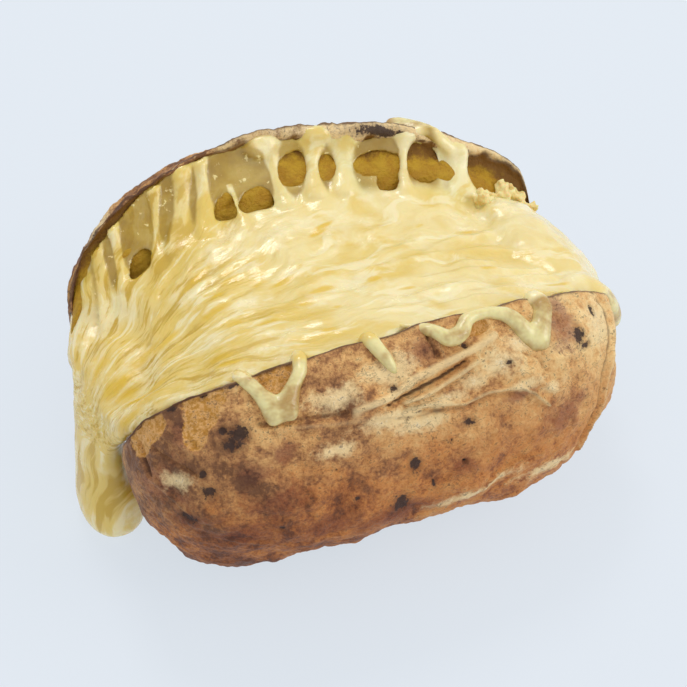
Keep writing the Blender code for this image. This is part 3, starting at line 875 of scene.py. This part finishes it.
def times(tree, first, second):
    return sumOf(tree, first, second, "MULTIPLY")


def spread(tree, value, low, high):
    node = addNode(tree, "ShaderNodeMapRange", interpolation_type="SMOOTHSTEP")
    node.inputs["From Min"].default_value = low
    node.inputs["From Max"].default_value = high
    tree.links.new(value, node.inputs["Value"])
    return node.outputs["Result"]


def ramp(tree, value, stops):
    node = addNode(tree, "ShaderNodeValToRGB")
    while len(node.color_ramp.elements) < len(stops):
        node.color_ramp.elements.new(0.5)
    for element, (place, colour) in zip(node.color_ramp.elements, stops):
        element.position = place
        element.color = (*colour, 1.0)
    tree.links.new(value, node.inputs["Fac"])
    return node.outputs["Color"]


def mixed(tree, share, under, over, kind="MIX"):
    node = addNode(tree, "ShaderNodeMix", data_type="RGBA", blend_type=kind)
    for socket, value in ((node.inputs["Factor"], share), (node.inputs["A"], under), (node.inputs["B"], over)):
        if isinstance(value, tuple):
            socket.default_value = (*value, 1.0)
        elif isinstance(value, float):
            socket.default_value = value
        else:
            tree.links.new(value, socket)
    return node.outputs["Result"]


def bumped(tree, height, strength, distance, before=None):
    node = addNode(tree, "ShaderNodeBump")
    node.inputs["Strength"].default_value = strength
    node.inputs["Distance"].default_value = distance
    tree.links.new(height, node.inputs["Height"])
    if before:
        tree.links.new(before, node.inputs["Normal"])
    return node.outputs["Normal"]


skinLook = {
    "dark": (0.20, 0.080, 0.029), "brown": (0.47, 0.215, 0.074), "tan": (0.79, 0.435, 0.155),
    "light": (0.96, 0.66, 0.29), "purple": (0.58, 0.46, 0.52), "pale": (0.98, 0.75, 0.39), "bare": (0.55, 0.25, 0.035),
    "line": (0.11, 0.042, 0.018), "scale": (0.97, 0.85, 0.62), "scorch": (0.046, 0.021, 0.015),
    # the low colour is painted shade on the lower skin, partly its own tone; the contact colour is a painted contact
    # shadow at the table
    "edge": (0.10, 0.038, 0.015), "low": (0.74, 0.50, 0.33), "contactShadow": (0.34, 0.21, 0.15),
    "flesh": (0.42, 0.205, 0.005), "fleshPale": (0.52, 0.30, 0.014), "toasted": (0.22, 0.095, 0.010),
    "roughness": (0.40, 0.70),
}


def makeSkinMaterial():
    made, tree, shader = newMaterial("bakedSkin")
    where = addNode(tree, "ShaderNodeTexCoord").outputs["Object"]
    cloud = noiseNode(tree, where, 55.0, 6.0, 0.68)
    mottle = noiseNode(tree, where, 260.0, 6.0, 0.72)
    speck = noiseNode(tree, where, 1000.0, 4.0, 0.7)
    creaseNoise = noiseNode(tree, where, 1.0, 4.0, 0.6, (150.0, 330.0, 330.0))
    blotch = noiseNode(tree, where, 125.0, 5.0, 0.65)
    tone = sumOf(tree, times(tree, cloud, 0.30), times(tree, mottle, 0.28))
    tone = sumOf(tree, tone, times(tree, blotch, 0.27))
    tone = sumOf(tree, tone, times(tree, speck, 0.15))
    apart = addNode(tree, "ShaderNodeSeparateXYZ")
    tree.links.new(where, apart.inputs["Vector"])
    tone = sumOf(tree, tone, times(tree, apart.outputs["X"], 0.9))  # darker at the left end, lighter at the right: partly the skin's own tone, partly painted light from the right
    base = ramp(tree, tone, [(0.415, skinLook["dark"]), (0.465, skinLook["brown"]), (0.515, skinLook["tan"]),
                             (0.585, skinLook["light"])])
    deep = field(tree, "deep")
    wobble = sumOf(tree, times(tree, sumOf(tree, mottle, 0.5, "SUBTRACT"), 2.6),
                   times(tree, sumOf(tree, cloud, 0.5, "SUBTRACT"), 1.8))
    # painted shade: the skin darkens further down from the rim towards the table, partly its own tone
    low = spread(tree, sumOf(tree, deep, times(tree, wobble, 15.0)), 12.0, 34.0)
    base = mixed(tree, low, base, skinLook["low"], "MULTIPLY")
    # painted contact shadow: the skin is darkened within a few millimetres of the table
    contactShadow = spread(tree, sumOf(tree, apart.outputs["Z"], times(tree, wobble, 0.0015)), 0.0075, 0.0015)
    base = mixed(tree, times(tree, contactShadow, 0.85), base, skinLook["contactShadow"], "MULTIPLY")
    purple = spread(tree, sumOf(tree, field(tree, "purple"), wobble), 0.0, 0.8)
    base = mixed(tree, purple, base, skinLook["purple"], "MULTIPLY")
    pale = spread(tree, sumOf(tree, field(tree, "pale"), wobble), 0.0, 0.8)
    base = mixed(tree, times(tree, pale, 0.8), base, skinLook["pale"])
    fold = field(tree, "fold")
    # painted highlight: the tops of the folds are lightened with the pale colour
    base = mixed(tree, times(tree, spread(tree, fold, 0.25, 1.1), 0.7), base, skinLook["pale"])
    # painted shade: the valleys between folds are darkened with the line colour
    foldValleyShade = spread(tree, sumOf(tree, times(tree, fold, -1.0), times(tree, wobble, 0.35)), 0.15, 0.75)
    base = mixed(tree, times(tree, foldValleyShade, 0.8), base, skinLook["line"])
    bareEdge = sumOf(tree, field(tree, "bare"), times(tree, wobble, 0.35))
    bare = spread(tree, bareEdge, 0.0, 0.12)
    base = mixed(tree, bare, base, mixed(tree, spread(tree, speck, 0.4, 0.6), skinLook["bare"], skinLook["tan"]))
    fineLine = sumOf(tree, sumOf(tree, creaseNoise, 0.5, "SUBTRACT"), 0.0, "ABSOLUTE")
    fineLine = spread(tree, fineLine, 0.022, 0.0)
    patch = spread(tree, cloud, 0.42, 0.6)
    base = mixed(tree, times(tree, times(tree, fineLine, patch), 0.5), base, skinLook["line"])
    scaly = times(tree, spread(tree, field(tree, "pale"), 0.55, 1.0), spread(tree, speck, 0.5, 0.6))
    base = mixed(tree, times(tree, scaly, 0.45), base, skinLook["scale"])
    dots = spread(tree, sumOf(tree, speck, times(tree, mottle, 0.5)), 0.85, 0.92)
    base = mixed(tree, times(tree, dots, 0.6), base, skinLook["line"])
    scorchField = field(tree, "scorch")
    ragged = sumOf(tree, times(tree, wobble, 0.35), times(tree, sumOf(tree, speck, 0.5, "SUBTRACT"), 2.4))
    halo = spread(tree, sumOf(tree, scorchField, ragged), -0.6, 0.4)
    base = mixed(tree, times(tree, halo, 0.45), base, skinLook["line"])
    scorch = spread(tree, sumOf(tree, scorchField, ragged), 0.15, 0.4)
    base = mixed(tree, times(tree, scorch, 0.92), base, skinLook["scorch"])
    edge = spread(tree, sumOf(tree, field(tree, "edge"), times(tree, wobble, 0.35)), 0.3, 0.85)
    base = mixed(tree, times(tree, edge, 0.85), base, skinLook["edge"])
    inside = field(tree, "inside")
    raw = spread(tree, sumOf(tree, deep, times(tree, wobble, 3.0)), 1.6, 5.0)
    fleshColour = mixed(tree, spread(tree, mottle, 0.35, 0.65), skinLook["flesh"], skinLook["fleshPale"])
    base = mixed(tree, inside, base, mixed(tree, raw, skinLook["toasted"], fleshColour))
    tree.links.new(base, shader.inputs["Base Color"])
    roughness = addNode(tree, "ShaderNodeMapRange")
    roughness.inputs["To Min"].default_value, roughness.inputs["To Max"].default_value = skinLook["roughness"]
    tree.links.new(mottle, roughness.inputs["Value"])
    tree.links.new(roughness.outputs["Result"], shader.inputs["Roughness"])
    first = bumped(tree, mottle, 0.95, 0.0014)
    second = bumped(tree, speck, 0.6, 0.0004, first)
    tree.links.new(bumped(tree, creaseNoise, 0.7, 0.0012, second), shader.inputs["Normal"])
    shader.inputs["Specular IOR Level"].default_value = 0.35
    return made


cheeseLook = {
    "cream": (0.84, 0.69, 0.315), "pale": (0.91, 0.81, 0.50), "warm": (0.76, 0.545, 0.125),
    "amber": (0.60, 0.385, 0.042), "gold": (0.74, 0.47, 0.015), "film": (0.29, 0.155, 0.005),
    "filmPale": (0.43, 0.265, 0.016), "drip": (0.79, 0.70, 0.335), "dripBrown": (0.46, 0.285, 0.085),
    "roughness": (0.16, 0.34), "scatter": 0.25,
}


def makeCheeseMaterial():
    made, tree, shader = newMaterial("meltedCheese")
    where = addNode(tree, "ShaderNodeTexCoord").outputs["Object"]
    flow = reading(tree, "flow").outputs["Vector"]
    fine = noiseNode(tree, flow, 1.0, 3.0, 0.55, (0.12, 0.6, 0.25))
    broad = noiseNode(tree, flow, 1.0, 3.0, 0.5, (0.06, 0.18, 0.1))
    cloud = noiseNode(tree, where, 90.0, 4.0, 0.6)
    grainy = noiseNode(tree, where, 420.0, 3.0, 0.6)
    streak = field(tree, "streak")
    stretched = field(tree, "stretched")
    apart = addNode(tree, "ShaderNodeSeparateXYZ")
    tree.links.new(where, apart.inputs["Vector"])
    clean = sumOf(tree, spread(tree, broad, 0.34, 0.6), times(tree, stretched, -0.4))
    clean = sumOf(tree, clean, times(tree, apart.outputs["X"], 6.0), "ADD", True)  # paler to the right
    base = mixed(tree, clean, cheeseLook["warm"], cheeseLook["cream"])
    base = mixed(tree, times(tree, spread(tree, cloud, 0.48, 0.68), 0.6), base, cheeseLook["pale"])
    mark = sumOf(tree, times(tree, streak, 0.30), times(tree, fine, 1.0))
    groove = spread(tree, mark, 0.46, 0.30)
    share = sumOf(tree, times(tree, stretched, 0.85), 0.14)
    base = mixed(tree, times(tree, groove, share), base, cheeseLook["amber"])
    crest = spread(tree, mark, 0.56, 0.74)
    base = mixed(tree, times(tree, crest, 0.65), base, cheeseLook["pale"])
    goldWobble = sumOf(tree, times(tree, sumOf(tree, fine, 0.5, "SUBTRACT"), 1.8),
                       times(tree, sumOf(tree, cloud, 0.5, "SUBTRACT"), 1.8))
    gold = sumOf(tree, field(tree, "gold"), goldWobble)
    base = mixed(tree, times(tree, spread(tree, gold, -0.15, 0.75), 0.8), base, cheeseLook["gold"])
    film = field(tree, "film")
    film = sumOf(tree, film, times(tree, sumOf(tree, cloud, 0.5, "SUBTRACT"), 1.2))
    film = times(tree, spread(tree, film, 0.15, 0.85), 0.8)
    filmColour = mixed(tree, spread(tree, cloud, 0.4, 0.62), cheeseLook["film"], cheeseLook["filmPale"])
    filmColour = mixed(tree, spread(tree, grainy, 0.62, 0.7), filmColour, cheeseLook["cream"])
    base = mixed(tree, film, base, filmColour)
    drip = field(tree, "drip")
    dripColour = mixed(tree, spread(tree, cloud, 0.44, 0.64), cheeseLook["drip"], cheeseLook["dripBrown"])
    base = mixed(tree, drip, base, dripColour)
    tree.links.new(base, shader.inputs["Base Color"])
    roughness = addNode(tree, "ShaderNodeMapRange")
    roughness.inputs["To Min"].default_value, roughness.inputs["To Max"].default_value = cheeseLook["roughness"]
    tree.links.new(cloud, roughness.inputs["Value"])
    tree.links.new(roughness.outputs["Result"], shader.inputs["Roughness"])
    first = bumped(tree, fine, 0.4, 0.0008)
    tree.links.new(bumped(tree, grainy, 0.2, 0.0005, first), shader.inputs["Normal"])
    shader.inputs["Subsurface Weight"].default_value = cheeseLook["scatter"]
    shader.inputs["Subsurface Radius"].default_value = (1.0, 0.6, 0.22)
    shader.inputs["Subsurface Scale"].default_value = 0.003
    shader.inputs["Coat Weight"].default_value = 0.2
    shader.inputs["Coat Roughness"].default_value = 0.12
    return made


def makeCrumbMaterial():
    made, tree, shader = newMaterial("fluffyFlesh")
    where = addNode(tree, "ShaderNodeTexCoord").outputs["Object"]
    cloud = noiseNode(tree, where, 300.0, 5.0, 0.6)
    base = ramp(tree, cloud, [(0.35, (0.66, 0.47, 0.13)), (0.6, (0.85, 0.72, 0.33))])
    tree.links.new(base, shader.inputs["Base Color"])
    tree.links.new(bumped(tree, cloud, 0.6, 0.0006), shader.inputs["Normal"])
    shader.inputs["Roughness"].default_value = 0.6
    shader.inputs["Subsurface Weight"].default_value = 0.3
    shader.inputs["Subsurface Scale"].default_value = 0.002
    return made


print("materials")
bakedSkin = makeSkinMaterial()
meltedCheese = makeCheeseMaterial()
fluffyFlesh = makeCrumbMaterial()

print("potato")
front = makeHalf("frontHalf", frontHalf, skin["front"])
back = makeHalf("backHalf", backHalf, skin["back"])
keelPiece = makeKeel()
crumbPiece = makeCrumbs()
for piece in (front, back, keelPiece):
    piece.data.materials.append(bakedSkin)
crumbPiece.data.materials.append(fluffyFlesh)

print("cheese")
cheesePiece = makeCheese()
cheesePiece.data.materials.append(meltedCheese)

for piece in (front, back, keelPiece, crumbPiece):
    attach(piece, "root")
    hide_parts("potato")
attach(cheesePiece, "root")
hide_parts("cheese")

# Floor, light and camera

print("studio")
studio = {
    "floorHalf": 3.0, "floorColour": (0.16, 0.16, 0.17), "floorGlow": (0.60, 0.655, 0.71),
    "worldColour": (0.96, 0.98, 1.0),
    "worldLight": 0.80,
    "lights": [  # name, place, aimed at the object's middle, size, watts
        ("overhead", (0.05, 0.45, 0.90), 0.25, 2.2),
        ("window", (0.90, -0.45, 0.60), 0.6, 3.4),
    ],
    "azimuth": math.radians(19.0), "elevation": math.radians(45.0), "distance": 0.4, "lens": 85.0,
    "target": Vector((0.00282, 0.000035, 0.030)),
}

floorShape = bmesh.new()
bmesh.ops.create_grid(floorShape, x_segments=1, y_segments=1, size=studio["floorHalf"])
floor = link("floor", floorShape)
floorMaterial, floorTree, floorShader = newMaterial("paleTable")
floorShader.inputs["Base Color"].default_value = (*studio["floorColour"], 1.0)
floorShader.inputs["Emission Color"].default_value = (*studio["floorGlow"], 1.0)
floorShader.inputs["Emission Strength"].default_value = 1.0
floorShader.inputs["Roughness"].default_value = 0.9
floorShader.inputs["Specular IOR Level"].default_value = 0.0
floor.data.materials.append(floorMaterial)

world = bpy.data.worlds.new("studioWorld")
world.use_nodes = True
world.node_tree.nodes["Background"].inputs["Color"].default_value = (*studio["worldColour"], 1.0)
world.node_tree.nodes["Background"].inputs["Strength"].default_value = studio["worldLight"]
bpy.context.scene.world = world

for name, place, size, watts in studio["lights"]:
    lamp = bpy.data.lights.new(name, "AREA")
    lamp.size = size
    lamp.energy = watts
    lampObject = bpy.data.objects.new(name, lamp)
    lampObject.location = place
    lampObject.rotation_euler = (studio["target"] - Vector(place)).to_track_quat("-Z", "Y").to_euler()
    bpy.context.scene.collection.objects.link(lampObject)

away = Vector((-math.sin(studio["azimuth"]) * math.cos(studio["elevation"]),
               -math.cos(studio["azimuth"]) * math.cos(studio["elevation"]), math.sin(studio["elevation"])))
camera = bpy.data.objects.new("camera", bpy.data.cameras.new("camera"))
camera.data.lens = studio["lens"]
camera.data.clip_start = 0.01
camera.location = studio["target"] + away * studio["distance"]
camera.rotation_euler = (-away).to_track_quat("-Z", "Y").to_euler()
bpy.context.scene.collection.objects.link(camera)
bpy.context.scene.camera = camera
bpy.context.scene.view_settings.view_transform = "Standard"

print("done")
